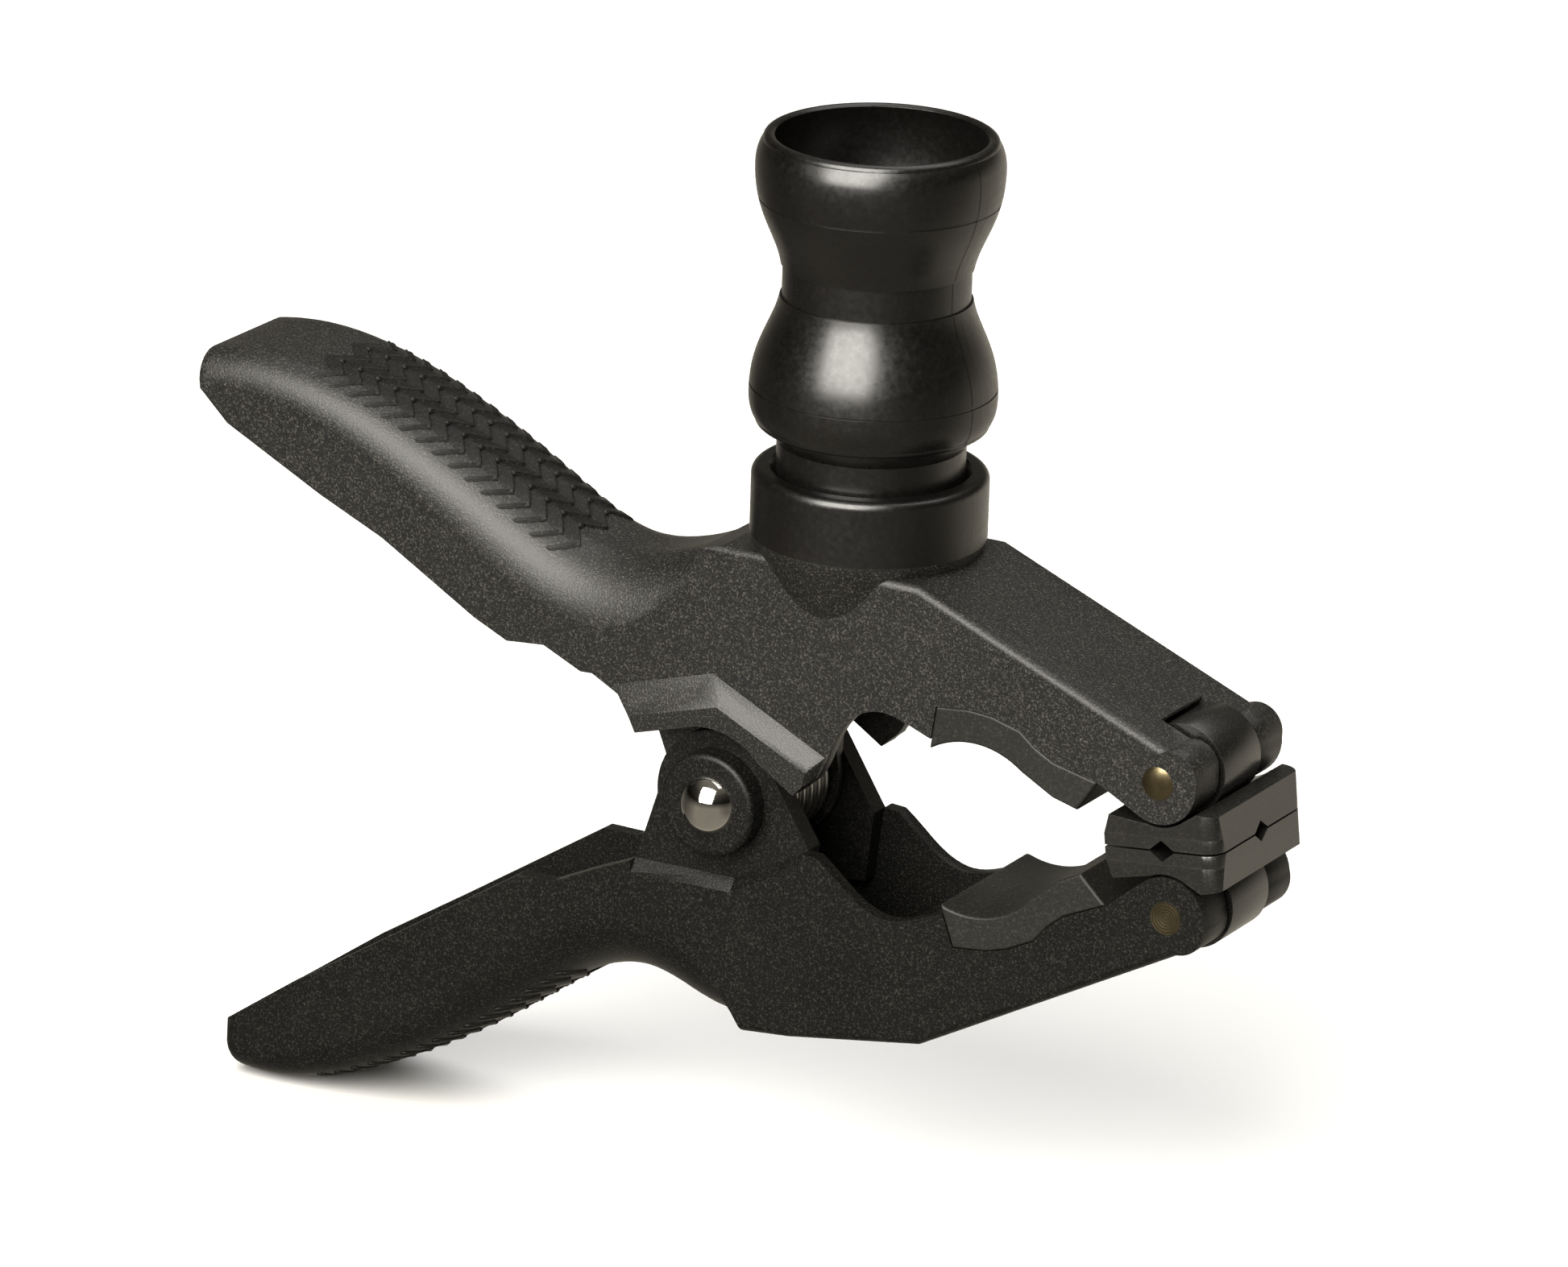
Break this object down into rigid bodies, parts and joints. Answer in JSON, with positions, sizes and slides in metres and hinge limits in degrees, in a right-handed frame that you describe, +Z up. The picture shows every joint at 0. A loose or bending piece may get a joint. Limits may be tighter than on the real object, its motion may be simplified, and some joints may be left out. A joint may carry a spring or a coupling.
{
  "type": "spring clamp with ball-socket stem",
  "caption": "Squeeze-handle spring clamp with swivelling jaw tips and a rubber-lined bar cradle, carrying a ball-and-socket modular stem.",
  "frame": {"origin": "centre of the round bar cradle between the closed jaws, on the clamp's middle plane", "axes": "+X towards the jaw tips, +Y across the jaws along the clamped bar, +Z up along the stem"},
  "size_m": [0.1688, 0.0348, 0.1577],
  "materials": {
    "jaw_nylon": "black glass-filled nylon, fine satin grain",
    "pad_plastic": "black nylon, satin",
    "stem_plastic": "black acetal, semi-gloss",
    "cradle_rubber": "olive-black elastomer, matt",
    "facing_rubber": "black elastomer, matt",
    "sleeve_plastic": "dark grey acetal",
    "rivet_chrome": "polished",
    "pin_metal": "turned ends, nickel plated with a warm tone",
    "spring_steel": "drawn spring wire, oiled",
    "fastener_steel": "zinc plated"
  },
  "bodies": {
    "upper": {"upper_jaw": "jaw_nylon", "upper_cradle_pad": "cradle_rubber", "upper_pad_pin": "pin_metal", "stem_collar": "stem_plastic", "stem_bolt": "fastener_steel", "stem_washers": "fastener_steel", "stem_nut": "fastener_steel", "spring_sleeve": "sleeve_plastic", "torsion_spring": "spring_steel"},
    "lower": {"lower_jaw": "jaw_nylon", "lower_cradle_pad": "cradle_rubber", "lower_pad_pin": "pin_metal", "pivot_rivet": "rivet_chrome", "pivot_cap": "rivet_chrome"},
    "upper_pad": {"upper_swivel_pad": "pad_plastic", "upper_pad_facing": "facing_rubber"},
    "lower_pad": {"lower_swivel_pad": "pad_plastic", "lower_pad_facing": "facing_rubber"},
    "connector": {"ball_connector": "stem_plastic"},
    "socket": {"double_socket": "stem_plastic"}
  },
  "joints": [
    {"name": "jaw_pivot", "type": "hinge", "parent": "upper", "child": "lower", "pos_m": [-0.04173, 0, -0.00475], "axis": [0, 1, 0], "range_deg": [0, 40], "stiffness_Nm_per_rad": 2.5, "springref_deg": -68.75, "deforming": ["torsion_spring"]},
    {"name": "upper_pad_swivel", "type": "hinge", "parent": "upper", "child": "upper_pad", "pos_m": [0.02901, 0, 0.01307], "axis": [0, 1, 0], "range_deg": [0, 20]},
    {"name": "lower_pad_swivel", "type": "hinge", "parent": "lower", "child": "lower_pad", "pos_m": [0.0312, 0, -0.00621], "axis": [0, 1, 0], "range_deg": [-20, 0]},
    {"name": "stem_turn", "type": "hinge", "parent": "upper", "child": "connector", "pos_m": [-0.025, 0, 0.04], "axis": [0, 0, 1], "continuous": true},
    {"name": "stem_tilt", "type": "hinge", "parent": "connector", "child": "socket", "pos_m": [-0.025, 0, 0.0577], "axis": [0, 1, 0], "range_deg": [-10, 10]}
  ],
  "couplings": [
    {"joint": "upper_pad_swivel", "follows": "jaw_pivot", "ratio": 0.5},
    {"joint": "lower_pad_swivel", "follows": "jaw_pivot", "ratio": -0.5}
  ]
}
